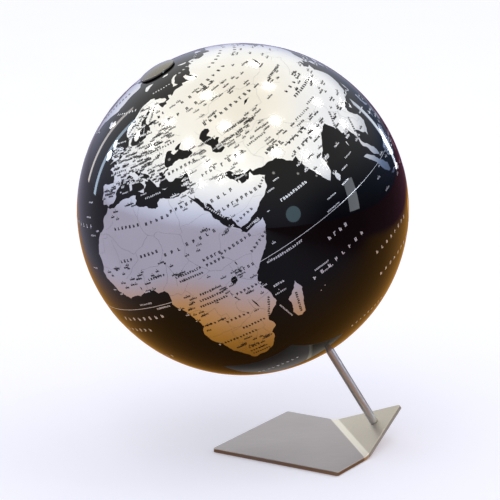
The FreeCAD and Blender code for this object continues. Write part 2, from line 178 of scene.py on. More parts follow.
    "australia": """142.5 -10.7 143.8 -14.4 145.4 -15.4 146.3 -18.9 149 -20.6 150.8 -23.3
153.2 -25.6 153.6 -28.8 152.4 -32.4 149.9 -37.4 146.4 -39 144.4 -38.2 140.4 -38
138.2 -35.6 138.3 -34.3 137 -35.2 137.8 -32.8 135.8 -34.8 134 -32.6 131.2 -31.5 126 -32.3
123.7 -33.9 120 -33.9 118 -35 115.1 -34.3 115.8 -31.8 113.5 -26.3 113.9 -22.4 118.8 -20.2
122.2 -17.8 125.2 -14.6 129 -14.9 131 -12.3 136.8 -12.2 135.6 -14.9 139.3 -17.4 140.9 -17.2
141.6 -13.6""",
    "tasmania": "144.7 -40.8 148.3 -40.9 147.4 -43.3 146 -43.5",
    "zealand_n": "172.8 -34.5 175.4 -36.6 178.4 -37.8 176.4 -41.2 174.9 -41.3 173.9 -39.2 174.7 -37.4",
    "zealand_s": "172.8 -40.6 174.2 -41.8 172.8 -43.8 170.6 -46 168.4 -46.6 166.5 -45.9 170.6 -42.8",
    "caledonia": "164.2 -20.2 166.8 -22.2 166 -22",
    "greenland": """-72 78.2 -66 76 -58 75.6 -54.6 72.6 -51 70 -53.6 67 -51.4 64 -48 61 -43.6 59.9
-42.4 62.8 -40 65.2 -31.5 68.2 -23.5 70.4 -20.5 74.6 -19 77.2 -13 81.2 -25 82.4 -33 83.5
-48 82.4 -62 81.8 -67 80.2""",
    "north_america": """-168 65.6 -166.4 68.3 -156.6 71.3 -141 69.6 -128 70.1 -115 68.2 -108 67.8
-96 68 -94.6 71.8 -91 69.6 -85.5 69.7 -81.4 69 -81.6 67.4 -87 66 -87.8 64.4 -93.4 61.8
-94.7 58.9 -92.6 57 -88 56.5 -82.3 55.1 -82.1 52.9 -80 51.3 -79 52.2 -79.6 54.6 -76.8 56.6
-78.4 58.8 -77.6 62.4 -70 61.1 -69.6 59 -67.8 58.3 -64.6 60.2 -62 57.8 -56 52.8 -60 50.2
-66.4 50.2 -71 47 -65 49.1 -64.8 46.4 -61.3 45.7 -60 46.6 -61.2 45.2 -65.8 43.5 -65 45.3
-70.4 43.5 -70 41.7 -74 40.6 -75.8 37.8 -75.6 35.3 -81.2 31.6 -80.1 27 -80.6 25.2 -81.8 26
-82.7 28.4 -84 30 -89.6 30.2 -89.6 29.2 -94.6 29.4 -97.3 27.6 -97.8 22.4 -95.8 18.8
-92 18.5 -90.5 20.8 -87 21.4 -88.2 18 -88.6 15.9 -83.4 15 -83.7 11.2 -82 9 -79.6 9.6
-77.5 8.6 -77.9 7.3 -78.8 8.8 -80.4 7.4 -82.9 8.2 -85.8 10.2 -87.6 12.9 -94 16.1
-100 16.9 -105.2 19.8 -105.6 22 -109.3 25.8 -113 31.2 -114.8 31.7 -112.4 27.4 -109.6 23.1
-112.2 25.4 -115 28.2 -117.2 32.8 -120.6 34.6 -124 39.8 -124 46.2 -124.6 48.3 -122.8 49
-130 54.8 -134 58 -139.8 59.6 -148 60.2 -153.8 58.8 -164.8 54.7 -157.6 58.6 -162 59
-165.6 61.6 -161 64.2 -166 64.6""",
    "baffin": """-65 62 -72 63.8 -78 64.5 -73.4 67 -79 69.8 -89 71 -88.6 73.6 -80.6 73.7 -72 71.4
-62 66.8 -67 65.6 -64.6 63.6""",
    "victoria_land": "-116 69.4 -104 68.6 -101.6 69.8 -105 72.8 -117.6 72.6",
    "banks": "-125 72 -121 71.4 -117 73.6 -121 74.4 -124.6 73.8",
    "melville": "-115 74.8 -104 75 -106 76.6 -117 76.2",
    "somerset": "-99 73.8 -94 72.2 -90.4 73.6 -98 75.6",
    "devon": "-95 76.6 -90 74.7 -80 74.6 -82 75.8",
    "ellesmere": "-89 76.4 -79 76.3 -75 78.8 -62 82.4 -72 83 -90 81.6 -87 79",
    "axel": "-96 79 -91 78.4 -88 80 -93 81.2",
    "southampton": "-87 64 -81 63.7 -85 65.8",
    "newfoundland": "-59.2 47.7 -53.4 46.8 -53.6 49.2 -55.8 51.5",
    "vancouver": "-128.2 50.7 -125 50.1 -123.4 48.5",
    "cuba": "-84.8 21.9 -82.4 23.1 -74.3 20.2 -77.6 19.9 -82.2 22.4",
    "hispaniola": "-74.4 18.4 -73 19.9 -68.5 18.6 -71.4 17.7",
    "jamaica": "-78.3 18.4 -76.3 18.1 -77.4 17.8",
    "puerto": "-67.2 18.4 -65.7 18.3 -66.6 18",
    "south_america": """-77.8 8.8 -75.5 10.6 -71.6 12.4 -71.4 10 -68.4 10.9 -62 10.7 -60 8.4
-52 5 -50 .4 -44.5 -2.6 -39 -3.2 -35.2 -5.2 -34.9 -8 -38.6 -13 -39.2 -17.8 -41.9 -22.8
-48.5 -26 -48.7 -28.6 -53.6 -34 -58.3 -34 -57 -36.4 -62 -39 -65 -41 -63.8 -42.6 -67.4 -46
-65.8 -47.8 -69.2 -50.8 -68.4 -52.6 -65.3 -54.7 -69 -55.2 -72.6 -53.4 -75.4 -50 -74 -44.6
-73.6 -39 -71.5 -33 -70.3 -25 -70.3 -18.4 -76.2 -14 -79.6 -7.6 -81.3 -4.4 -80 -3 -80.8 -1
-78.8 1.4 -77.2 4 -78.1 7.3""",
    "falklands": "-61 -51.8 -57.9 -51.6 -59.5 -52.3",
    "antarctica": """-180 -78.4 -158 -77.6 -136 -74.6 -110 -74.8 -100 -72.6 -74 -73.2 -67.6 -68.6
-57.4 -63.4 -62 -67 -61.6 -72 -64 -76 -40 -78 -26 -75.4 -12 -71.4 12 -70 38 -69.4 52 -66.4
68 -68 74 -69.6 88 -66.6 112 -66 136 -66.4 158 -69.4 170.6 -71.6 163.6 -75.6 166 -78.2
180 -78.4 180 -84.4 120 -84.4 60 -84.4 0 -84.4 -60 -84.4 -120 -84.4 -180 -84.4""",
}

WATER = {
    "caspian": """47 44.7 49 46.3 51.6 46.9 53.1 46.2 53 45.2 51.1 44.6 50.6 44.2 52.4 42.4
52.6 41.6 53.8 42 54.7 41.4 53.4 40.6 53 39.8 53.7 38.8 53.9 37.2 51.8 36.6 49.9 37.4
48.9 38.4 49.5 39.6 49.6 40.4 48.2 42 47.6 43.2""",
    "balkhash": "73.6 45.4 75.4 46.6 79 46.6 75.8 45.7",
    "baikal": "104 51.6 106.2 52.4 109.2 54.6 110 55.7 108.6 55.2 106 53.2",
    "issyk": "76.3 42.4 77.6 42.7 78.2 42.5 77.2 42.2",
    "van": "42.5 38.4 43.4 38.8 43.2 38.4",
    "ladoga": "30.8 60.4 32.4 60.2 32.6 61.2 30.6 61.6",
    "onega": "34.6 61.3 35.8 61 35.6 62.3 34.8 62.2",
    "vanern": "12.6 58.6 13.8 58.6 13.4 59.3",
    "victoria": "31.8 -.8 33 .3 34.2 -.2 33.8 -1.8 32.6 -2.5 31.8 -2",
    "tanganyika": "29.2 -3.6 29.6 -5 31 -8.6 30.4 -8.2 29.3 -6",
    "malawi": "34.1 -9.8 34.6 -11.6 35 -14.2 34.4 -13 34 -11",
    "turkana": "36 4.4 36.4 3.6 36.4 2.6 36 3.4",
    "chad": "13.8 13.2 14.6 13.4 14.6 12.8 13.9 12.7",
    "volta": "-.3 8 .1 6.6 .3 7.6",
    "superior": "-91.8 46.8 -88.6 48.4 -84.8 46.7 -87.6 46.6",
    "michigan": "-87.7 42 -86.6 42 -86 44.8 -85.4 46 -87.4 45",
    "huron": "-84.2 46 -81 45.6 -81.8 43.2 -83.4 44.2",
    "erie": "-83.2 41.8 -79.2 42.8 -81.6 41.6",
    "ontario": "-79.6 43.4 -76.4 44 -76.8 43.4",
    "winnipeg": "-98.6 53.6 -97.4 53.8 -96.4 50.6 -97.6 51.8",
    "athabasca": "-111.4 58.7 -108 59.4 -106.6 59.3 -109.6 58.9",
    "slave": "-116.6 61 -112 61.4 -109.4 62.8 -113.6 62.2",
    "bear": "-124.6 66 -121 65 -118.2 66.4 -121.4 66.9",
    "titicaca": "-70 -15.4 -68.8 -16.2 -69.4 -16.4",
}

BORDERS = """25 31.6 25 22;25 22 31.5 22 36.9 22;25 22 25 20 24 20 24 15.7 22 13 22.8 11
9.5 30.2 10 26.4 11.9 23.5 14.2 22.6 16 23.4 24 19.5;11.9 23.5 3.2 19 -4.8 25 -8.7 27.3
-8.7 27.3 -13.2 27.7;-8.7 27.3 -8.7 26 -12 26 -12 23.4 -13 21.3 -17 21.3;-8.7 28.7 -3.6 31
-1.2 32.2 -1.8 35;8.2 36.9 8.2 34.6 9.5 30.2 11.5 33.1;14.2 22.6 15.5 20.8 15.4 16.9 13.5 14.4
-4.8 25 -6.5 25 -5.5 16.4 -5.5 15.5 -11.8 15.4 -16.2 16.5;4.2 19.1 4.2 16.8 .2 15 -5.3 11.6
3.6 11.7 4.1 13.5 13.6 13.6;2.7 6.4 2.8 9 3.6 11.7;8.6 4.8 11.2 6.5 13.6 11 14.2 12.8
14.2 12.8 15.2 10 15.4 7.4 14.5 4.6;15.4 7.4 19 9 22.8 11 24.4 8.7 27.4 5.1;16 2.3 18.6 4.4
22.4 4.1 27.4 5.1 30.9 3.6 34 4.2;16 2.3 14 1.3 13.2 2.2 9.8 2.3;16 2.3 17.8 -.5 16 -3.6 12.4 -5
36.4 14.4 34 9.5 33 8 35.9 4.6;36.4 14.4 40 14.4 42.4 12.5;42.9 11 44 9 48 8 45 5 41.9 3.9
41.9 3.9 41 -.8 41.5 -1.7;41.9 3.9 35.9 4.6 34 4.2 34 1;33.9 -1 37.7 -3.7 39.2 -4.7
29.6 -1.4 31 -1 33.9 -1;29.6 -1.4 29.4 -4.4 30.7 -8.2 28.9 -8.5 28.4 -11.8 29.8 -13.4 28 -12.2
24 -10.9 24 -13 22 -13 22 -16.2 23.4 -17.6;12.8 -6 16.6 -5.9 19 -8 21.8 -7.3 21.8 -11 24 -10.9
11.8 -17.3 18.4 -17.4 23.4 -17.6 25.3 -17.8 28.8 -16 30.4 -15.7 30.3 -14.9 33.2 -14
33 -9.4 33.2 -14 34.6 -14.6 35.9 -16;40.5 -10.5 35 -11.6;25.3 -17.8 27.8 -21 29.4 -22.2 31.2 -22.4
32.8 -18 32.4 -21.3 31.2 -22.4 32 -25.9;21 -22 21 -18.4 25.3 -17.8;21 -22 20 -24.8 20 -28.4
16.5 -28.6 20 -28.4;20 -24.8 25 -25.8 29.4 -22.2;34.9 29.5 39 32 47 29.1 48.4 28.5;39 32 38.8 33.4
42 37.1 44.8 37.2 46 33 48 30;36 36.8 42 37.1;44.8 37.2 44.8 39.7 43.6 41.2 41.5 41.5;44.8 39.7
48.9 38.4;43.6 41.2 46.5 41.9 48.5 41.9;40 43.5 46.5 41.9;43.1 17 52 19 55.2 17.7;52 19 55 20 55.6 22
51.6 24.2;61.6 25.2 63.2 27.2 61 29.8 60.6 34 61.2 35.6 55 38 53.9 37.3;61 29.8 66.3 29.9 69.3 31.9
71.6 36.3 74.6 37.2;61.2 35.6 64.6 37.2 67.8 37.2 71.6 38.4 74.6 37.2;56 41.3 56 45 58.5 45.6
56 41.3 60 42 66.6 37.4;62 43.5 66 42 69 41.4 73.4 42.6 80.2 42.2 82.4 45.4 87.4 49.1;48 46 47 48.2
50.8 51.7 58 51.1 61.6 53.9 71 54.2 76.8 54.3 80 51 87.4 49.1 92 50.7 98.2 50.5 102.4 51.4
113 49.6 117 49.8 120 53.2 127 50 130.8 47.7 135 48.4 131 45 130.6 42.4;87.4 49.1 91 45.1 96.4 42.7
105 41.6 111.6 43.6 117 46.6 119.9 46.8 117 49.8;74.6 37.2 78 35.4 79 32.5 81 30.2 86 28 88.9 27.3
92 27.6 97.4 28.3 98.7 25.6 97.6 24 101.2 21.6 105.4 23.3 108 21.5;68.2 23.7 71 24.4 70 28 74.4 31
74.6 34.4 78 35.4;81 30.2 80 28.8 88 26.4 88.2 27.9;89 22 88.2 25 92.4 25 92.4 23 91.6 22.9
101.2 21.6 98 18 98.8 15.4 99.2 12 98.8 10;101.2 21.6 100.6 19.6 102.2 17.9 104.8 16.4 105.4 14.4
102.4 13.6 102.9 11.7;105.4 14.4 107.6 14.4 106.2 11 104.5 10.4;107.6 14.4 105.6 18 103.8 20.6
102.2 22.4;124.3 39.9 126.9 41.6 130.6 42.4;126.6 37.8 128.4 38.6;23.5 52 31.8 52.1 33.8 52.4 40 49.6
38.2 47.1;23.5 52 22.6 49.1 22.9 48 29.7 47.9 28.2 45.5;14.6 53.9 14.7 51 19 49.4 22.6 49.1
6.2 53.5 7 51.8 6 50.8 6.2 49.4 8.2 49 7.6 47.6 6 46.2 7.5 43.8;7.6 47.6 10.4 47.5 13 47.5 12.1 50.3
14.7 51;1.8 43.4 -1.8 43.4 3.1 42.4;-7.4 37.2 -7 40 -6.3 41.6 -8.8 41.9;16.5 46.9 18.9 45.9 22 44.4
28.6 43.8;22 44.4 20.4 42 21 40.9 26.4 41.7;20.6 69.1 25.7 69.1 28.9 69.1 30 67.6 29 66.8 31.4 62.8
27.8 60.6;20.6 69.1 16.2 68.2 12 63.8 12.2 61.2 11.5 59;24.2 65.8 23.6 68 20.6 69.1;28 59.4 27.4 57.6
28.2 56.2 30.8 54.8 31.8 52.1;141 -2.7 141 -9;141 -26 141 -38;129 -15 129 -31.6;138 -16.6 138 -26
129 -26 141 -26 141 -29 153.4 -28.2;-141 69.6 -141 60.4 -135 59 -130 55.4;-123 49 -95 49 -88 48.2
-83 45.8 -82.4 42 -79 43.4 -75 45 -71 45.2 -67.8 47 -67 45;-117 32.5 -111 31.3 -106.5 31.8
-101.4 29.8 -97.2 25.9;-92.2 14.6 -90.5 17.8 -88.4 18.4;-72.4 11.8 -72.4 7.4 -67.4 6.2 -67 1.2
-69.8 1.7 -69.9 -4.3 -74 -7.4 -69.6 -11 -68.6 -12.6 -69.4 -17.6 -67.8 -22.8;-67 1.2 -63.4 2.2
-60.7 5.2 -60 8.2;-60.7 5.2 -56.5 1.9 -51.8 4.2;-78.8 1.4 -75.2 -.1 -78.4 -3.4 -80.2 -3.4
-69.9 -4.3 -73 -2.4 -75.2 -.1;-65.4 -9.8 -60.2 -13.6 -58.2 -17.4 -57.8 -22.2 -54.4 -24 -54.6 -25.6
-57.6 -30.2 -53.4 -33.7;-62.6 -22.2 -58 -20 ;-62.6 -22.2 -67.8 -22.8 -70 -30 -71.6 -39 -72 -48
-68.4 -52.3"""

# A name across a country or sea: middle longitude and latitude, letters, letter height and
# pitch in mm, and the turn from the parallel in degrees if there is one.
LAND_NAMES = """3 28 7 2.6 4.6 -4;17.5 27 5 2.8 5.6;28.5 27.6 5 2.8 5;-1.5 17.5 4 2.6 4.2
9.5 17.6 5 2.6 4.4;18.5 15.6 3 2.8 7;30 16 5 2.8 6.6;8.5 9.6 7 2 2.8;20.4 7.4 11 2.1 2.4
20.6 5.7 11 2 2.2;30.4 9.2 5 2.5 3.8;30.6 7.2 5 2.5 3.8;39.2 9 8 2.6 4 4;46 6 6 2.5 3.8 24
37.6 .6 5 2.4 4;22.6 -1 6 2.1 2.4;23.2 -3 10 2.1 2.4;22.8 -5 12 2 2.3;34.6 -6 8 2.4 3.6
17.6 -12.4 6 2.2 4;26.4 -14 6 2.3 4;17 -22 7 2.1 3;24.2 -22 8 2.1 3;29.6 -19 8 2.1 2.8
37.4 -15.6 9 2 2.4 62;24 -28.6 5 2 3;23.6 -30.6 6 2 2.6;24 -32.4 8 1.8 2.2;46.8 -20 10 2 2.2 78
42 24.6 5 2.9 6;48 20.6 10 2.9 4.4;46.6 15.6 5 2.4 3.8 10;57.4 21.4 4 1.9 2.6 30
34.6 39.2 7 2.6 4;43.6 33.4 4 2.5 3.8;54 33 4 2.9 6.8;66 33.6 10 1.8 2;68.6 28 5 2.6 3.8
78 22.6 5 2.6 5.2;79 26 5 2.4 5.2;44 57.6 5 3 9;63 61.4 5 3 8;82 63 5 3 7.4;67.6 48.4 10 3 5.6
64 41.6 9 2.2 2.2;59.4 39.2 11 2 2;31.2 48.8 7 1.9 2.6;28 53.6 5 1.8 2;103 46.6 11 2.4 2.4
101 39 5 2.8 8;101.6 35.6 11 2.7 3.4;96.4 31 5 1.8 2.8;88 30 8 1.9 2.6;84 28.2 5 1.8 2
96 21.8 7 2 2.2 50;101.6 15.4 7 2 2.2 60;108 67.4 6 2.6 7;128 62.6 6 2.6 7;150 66 5 2.6 7
134 -24.6 9 3.4 8;-102 60 6 3.4 12;-98 39.4 12 3.2 6.4;-102.6 24 6 2.6 4.4 -30
-52 -9 7 3.2 8;-65 -35 9 2.6 3.2 80;-72 4.4 8 2.2 2.6;-75.4 -9.6 4 2.4 4.4 -50;-64.6 -17 7 2.2 2.8
-42 72 9 2.8 4 70;-152 65 6 2.6 4.6;3 46.6 6 2 2.4;-4 40 7 2 2.2;10.4 51.2 7 2 1.9
19.6 52.2 7 1.8 1.9;16 62.6 6 2 2.2 66;26.8 63.2 8 2 1.9 70;9.4 61 6 1.8 2 50;138 36.6 5 1.8 2.2 45
20 -77 10 2.8 8;-110 -79 10 2.8 8;100 -77 10 2.8 8"""

SEA_NAMES = """64.6 13 11 2.4 2.6;70 -6.6 4 3.4 6.4;66.8 -14.2 8 3.4 8.2 6;52.6 -1.6 14 2 2.1
47.4 12.1 9 1.3 1.5 12;38.6 21 10 1.6 2 -58;58.4 17.6 6 1.2 1.2;62 19.4 5 1.2 1.2;88.6 15 6 1.2 1.3
89.6 10 8 1.2 1.3;85 8 7 1.2 1.3;82 4.4 8 1.2 1.2;74.6 4 9 1.2 1.2;73 .8 11 1.3 1.3
43.6 -12.8 7 1.4 1.6;44.4 -9.8 5 2 2.1;59.6 -13 10 1.6 1.5;61.4 -15.4 8 1.2 1.2
41.6 -20.4 13 1.3 1.4 -78;51 42.6 7 1.2 1.4;51.6 39 6 1.2 1.4
19 34.8 9 1.5 1.8;-2 1.6 9 1.5 1.8;4.6 -1 10 1.6 1.6;-9 -4 8 3.4 8;-17 -9 6 3.4 8
-22 33 7 1.4 1.4;-19 27 7 1.4 1.4;-23.6 15.6 7 1.4 1.4;-20 38 6 1.4 1.4;-5 69 8 2 3.6
2 57 6 1.4 1.8;-36 30 9 3.4 9;-30 -24 9 3.4 9;160 20 8 3.4 10;-150 20 8 3.4 10
-140 -20 8 3.4 10;-110 -38 8 3.4 10;94 -24 8 3.4 8;96 -34 8 3.4 8;100 76 8 2.2 5
113.6 15 8 1.6 2;133 30 6 1.6 2;160 -38 7 2 3;-78 58 6 2 3;-90 25 8 2 3;-72 15 8 2 2.6
-164 76 8 2.2 5;-58 74 6 1.8 2.4 -60;20 -48 9 2.6 5;76 -50 9 2.6 5;-174 -60 9 2.6 5
40 73.6 7 1.6 2.6;15 36.4 5 1.2 1.3;5.6 39 6 1.2 1.3;25.6 38.2 5 1.1 1.2;19.6 57.6 6 1.1 1.3 80"""

# Places where small names stand close together: middle longitude and latitude, half the
# spread in longitude and latitude, and how many.
TOWNS = """14 46 9 5.4 36;23.5 42.8 4.2 4.4 18;31 51.4 8 2.6 12;8 48 10 7 34;28 55 12 5 20
44 41 4 2.6 10;36 33.4 3 4 12;50 35 8 5 10
38 15 5 2.4 6;48 27 6 4 8;10 9 9 3.6 16;-8 11 7 5 16;29.6 -2.6 2 1.6 5;33 0 4 2.6 6;27 -27 5 4 10
14 -4 4 4 8;30 4 20 16 18;25 -14 12 10 10;62 38 12 6 18;71 40.6 5 2.6 10;78 18 6 9 16;75 29 8 3 12
88.6 25.6 5 2.4 10;100 17 5 8 14;112 31 9 10 26;60 56 22 7 22;95 56 25 7 16;130 56 16 8 12
98 42 16 6 10;127 37 3 3 6;138 36 6 4 8;108 -4 12 6 14;121 12 4 6 8;140 -28 14 7 20;122 -28 8 6 6
-90 38 16 8 44;-115 40 10 8 16;-100 24 10 6 14;-86 13 5 3 8;-72 19 10 3 8;-60 -30 10 7 16
-48 -16 10 10 18;-70 0 8 8 14;-95 55 25 6 18;-150 63 10 4 6;-45 66 6 6 4;24 65 8 3 8;15 61 6 4 8
0 52 4 3 10;-4 40 5 3 10;2 32 8 3 6;30 28 3 4 5;20 -26 5 5 5"""


def numbers(text):
    """The numbers in a text, parted by spaces or line ends."""
    return [float(value) for value in text.split()]


def pairs(values):
    """Longitude and latitude pairs from a list of numbers."""
    return list(zip(values[0::2], values[1::2]))


def rows(text):
    """Lists of numbers, one for each stretch between semicolons or line ends."""
    return [numbers(row) for row in text.replace(";", "\n").splitlines() if row.strip()]


def sideways(turn):
    """The direction square to the axis at an angle round it."""
    return SIDE_X * math.cos(turn) + SIDE_Y * math.sin(turn)


def on_globe(lon, lat, lift):
    """The point of the row frame at a longitude and latitude, this high over the surface."""
    flat = sideways(math.radians(lon) + MAP_SPIN)
    up = math.radians(lat)
    return GLOBE_CENTRE + (flat * math.cos(up) + NORTH * math.sin(up)) * (GLOBE_R + lift)


def wandering(a, b, amount, step):
    """The points from a up to but not including b, displaced midway again and again."""
    dx = b[0] - a[0]
    dy = b[1] - a[1]
    squeeze = math.cos(math.radians((a[1] + b[1]) / 2))
    if math.hypot(dx * squeeze, dy) <= step:
        return [a]
    shift = random.uniform(-amount, amount)
    stretch = 1 / max(squeeze, 0.2)
    middle = ((a[0] + b[0]) / 2 - dy * shift * stretch, (a[1] + b[1]) / 2 + dx * shift * squeeze)
    return wandering(a, middle, amount, step) + wandering(middle, b, amount, step)


def wandering_path(corners, amount, step):
    """A line through corners with wandering points added, so that no stretch is over a step."""
    path = []
    for a, b in zip(corners, corners[1:]):
        path += wandering(a, b, amount, step)
    return path + [corners[-1]]


def inside(point, outline):
    """Whether a point is inside an outline, by counting crossings."""
    x, y = point
    result = False
    last_x, last_y = outline[-1]
    for here_x, here_y in outline:
        if (here_y > y) != (last_y > y):
            cross = last_x + (y - last_y) * (here_x - last_x) / (here_y - last_y)
            if x < cross:
                result = not result
        last_x, last_y = here_x, here_y
    return result


class Region:
    """A closed and roughened outline with its box, for quick tests."""

    def __init__(self, text, amount, step):
        corners = pairs(numbers(text))
        self.points = wandering_path(corners + corners[:1], amount, step)[:-1]
        longitudes, latitudes = zip(*self.points)
        self.low_x, self.high_x = min(longitudes), max(longitudes)
        self.low_y, self.high_y = min(latitudes), max(latitudes)

    def holds(self, x, y):
        """Whether a place is within the outline."""
        if not (self.low_x <= x <= self.high_x and self.low_y <= y <= self.high_y):
            return False
        return inside((x, y), self.points)


lands = {name: Region(text, *COAST_WANDER) for name, text in LAND.items()}
waters = {name: Region(text, *SHORE_WANDER) for name, text in WATER.items()}


def in_lake(x, y):
    """Whether a place on the map is in a lake or in the Caspian Sea."""
    return any(water.holds(x, y) for water in waters.values())


def on_land(x, y):
    """Whether a place on the map is dry land."""
    for shift in (0, 360):
        if any(land.holds(x + shift, y) for land in lands.values()):
            return not in_lake(x + shift, y)
    return False


# ---- Meshes on the globe --------------------------------------------------------------------


def add_mesh(name, verts, faces, material):
    """A mesh object in the row frame, which turns with the globe."""
    mesh = bpy.data.meshes.new(name)
    mesh.from_pydata(verts, [], faces)
    mesh.update()
    mesh.materials.append(material)
    piece = bpy.data.objects.new(name, mesh)
    bpy.context.scene.collection.objects.link(piece)
    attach(piece, "globe")
    return piece


def follow_sphere(piece):
    """Gives a thin piece the globe's own normals, so that it mirrors like the globe."""
    mesh = piece.data
    for face in mesh.polygons:
        if face.normal.dot(face.center - GLOBE_CENTRE) < 0:
            face.flip()
    mesh.update()
    for face in mesh.polygons:
        face.use_smooth = True
    mesh.normals_split_custom_set_from_vertices(
        [(v.co - GLOBE_CENTRE).normalized() for v in mesh.vertices]
    )


def foil_piece(name, land):
    """One land mass as a thin foil: its outline, its lakes, and a grid of points inside."""
    lakes = [water.points for water in waters.values() if land.holds(*water.points[0])]
    flat = []
    edges = []
    for outline in [land.points] + lakes:
        first = len(flat)
        flat += [Vector(p) for p in outline]
        count = len(outline)
        edges += [(first + k, first + (k + 1) % count) for k in range(count)]
    x = math.ceil(land.low_x / GRID_STEP) * GRID_STEP
    while x < land.high_x:
        y = math.ceil(land.low_y / GRID_STEP) * GRID_STEP
        while y < land.high_y:
            if land.holds(x, y):
                flat.append(Vector((x + GRID_SHIFT, y + GRID_SHIFT)))
            y += GRID_STEP
        x += GRID_STEP
    points, _, faces, *_ = geometry.delaunay_2d_cdt(flat, edges, [], 0, 1e-6)
    kept = []
    for face in faces:
        x = sum(points[k][0] for k in face) / 3
        y = sum(points[k][1] for k in face) / 3
        if land.holds(x, y) and not in_lake(x, y):
            kept.append(face)
    verts = [on_globe(p[0], p[1], FOIL_LIFT) for p in points]
    follow_sphere(add_mesh(name, verts, kept, silver))


class Ink:
    """Small flat marks printed on the globe, gathered into one mesh."""

    def __init__(self):
        self.verts = []
        self.faces = []

    def bar(self, lon, lat, turn, box):
        """A bar at a place, its box in mm east and north of it before the turn."""
        low_u, low_v, high_u, high_v = box
        first = len(self.verts)
        narrow = MM_PER_DEGREE * math.cos(math.radians(lat))
        cos_t = math.cos(turn)
        sin_t = math.sin(turn)
        for u, v in ((low_u, low_v), (high_u, low_v), (high_u, high_v), (low_u, high_v)):
            east = (u * cos_t - v * sin_t) / narrow
            north = (u * sin_t + v * cos_t) / MM_PER_DEGREE
            self.verts.append(on_globe(lon + east, lat + north, INK_LIFT))
        self.faces.append((first, first + 1, first + 2, first + 3))

    def line(self, points, width):
        """A thin line through places, one bar for each stretch."""
        for a, b in zip(points, points[1:]):
            east = (b[0] - a[0]) * math.cos(math.radians((a[1] + b[1]) / 2))
            north = b[1] - a[1]
            length = math.hypot(east, north) * MM_PER_DEGREE
            if length > 0:
                box = (0, -width / 2, length, width / 2)
                self.bar(a[0], a[1], math.atan2(north, east), box)

    def build(self, name, material):
        follow_sphere(add_mesh(name, self.verts, self.faces, material))


def letter(ink, lon, lat, turn, height):
    """A made-up character: an upright, most often a shorter one beside it, and a crossbar."""
    stroke = height * 0.30
    low = -height / 2
    right = height * 0.35
    has_second = random.random() > 0.2
    ink.bar(lon, lat, turn, (-right, low, stroke - right, -low))
    if has_second:
        start = low + height * random.choice((0, 0.3))
        ink.bar(lon, lat, turn, (right - stroke, start, right, start + height * 0.7))
    level = low + height * random.choice((0, 0.4, 0.8))
    ink.bar(lon, lat, turn, (-right, level, right, level + stroke * 0.9))


def name_row(lon, lat, count, height, pitch, turn_deg=0):
    """A row of made-up characters round a place, at a turn from its parallel."""
    turn = math.radians(turn_deg)
    narrow = MM_PER_DEGREE * math.cos(math.radians(lat))
    for k in range(int(count)):
        at = (k - (count - 1) / 2) * pitch
        x = lon + at * math.cos(turn) / narrow
        y = lat + at * math.sin(turn) / MM_PER_DEGREE
        letter(ink_at(x, y), x, y, turn, height)


dark_ink = Ink()
pale_ink = Ink()


def ink_at(x, y):
    """Dark ink on land and pale ink on water."""
    return dark_ink if on_land(x, y) else pale_ink


# ---- Materials ------------------------------------------------------------------------------


# Grain counts are per metre along X, Y and Z; the rod's run along its own length.
GRAIN_PLATE = (60, 2400, 2400)
GRAIN_ROD = (2600, 2600, 30)
RING_SCALE = 0.314  # the wave texture's scale for rings one metre apart
# Where the plate's painted highlight along the bend begins and ends, along X.
BEND_START = 99.0 * MM
BEND_END = 104.6 * MM
POLE_TOP = GLOBE_CENTRE + NORTH * (GLOBE_R + 4 * MM)
TILT = (0, -LEAN, 0)


class Graph:
    """A node tree, built up node by node."""

    def __init__(self, tree):
        self.tree = tree

    def node(self, kind, links=None, **values):
        """A node with its values set, by attribute or by socket name, and its inputs linked."""
        made = self.tree.nodes.new(kind)
        for key, value in values.items():
            socket = key.replace("_", " ")
            if socket in made.inputs:
                made.inputs[socket].default_value = value
            else:
                setattr(made, key, value)
        for socket, source in (links or {}).items():
            self.tree.links.new(source, made.inputs[socket])
        return made

    def ramp(self, source, *stops):
        """The colours of a few stops, blended by a source."""
        made = self.node("ShaderNodeValToRGB", {"Fac": source})
        elements = made.color_ramp.elements
        while len(elements) < len(stops):
            elements.new(0.5)
        for element, (place, colour) in zip(elements, stops):
            element.position = place
            element.color = (*colour, 1)
        return made.outputs["Color"]

    def mix(self, share, low, high):
        """A mix of two colours, each a node's output or a constant."""
        made = self.node("ShaderNodeMix", data_type="RGBA")
        self.tree.links.new(share, made.inputs["Factor"])
        for socket, value in ((made.inputs["A"], low), (made.inputs["B"], high)):
            if isinstance(value, tuple):
                socket.default_value = (*value, 1)
            else:
                self.tree.links.new(value, socket)
        return made.outputs["Result"]

    def smooth(self, source, low, high):
        """A smooth rise from 0 to 1 between two values."""
        ends = {"From_Min": low, "From_Max": high, "interpolation_type": "SMOOTHSTEP"}
        return self.node("ShaderNodeMapRange", {"Value": source}, **ends).outputs["Result"]

    def for_ray(self, ray, seen, others):
        """One shader for one kind of ray, and another for every other ray."""
        chosen = self.node("ShaderNodeLightPath").outputs[ray]
        return self.node("ShaderNodeMixShader", {0: chosen, 1: others, 2: seen}).outputs[0]


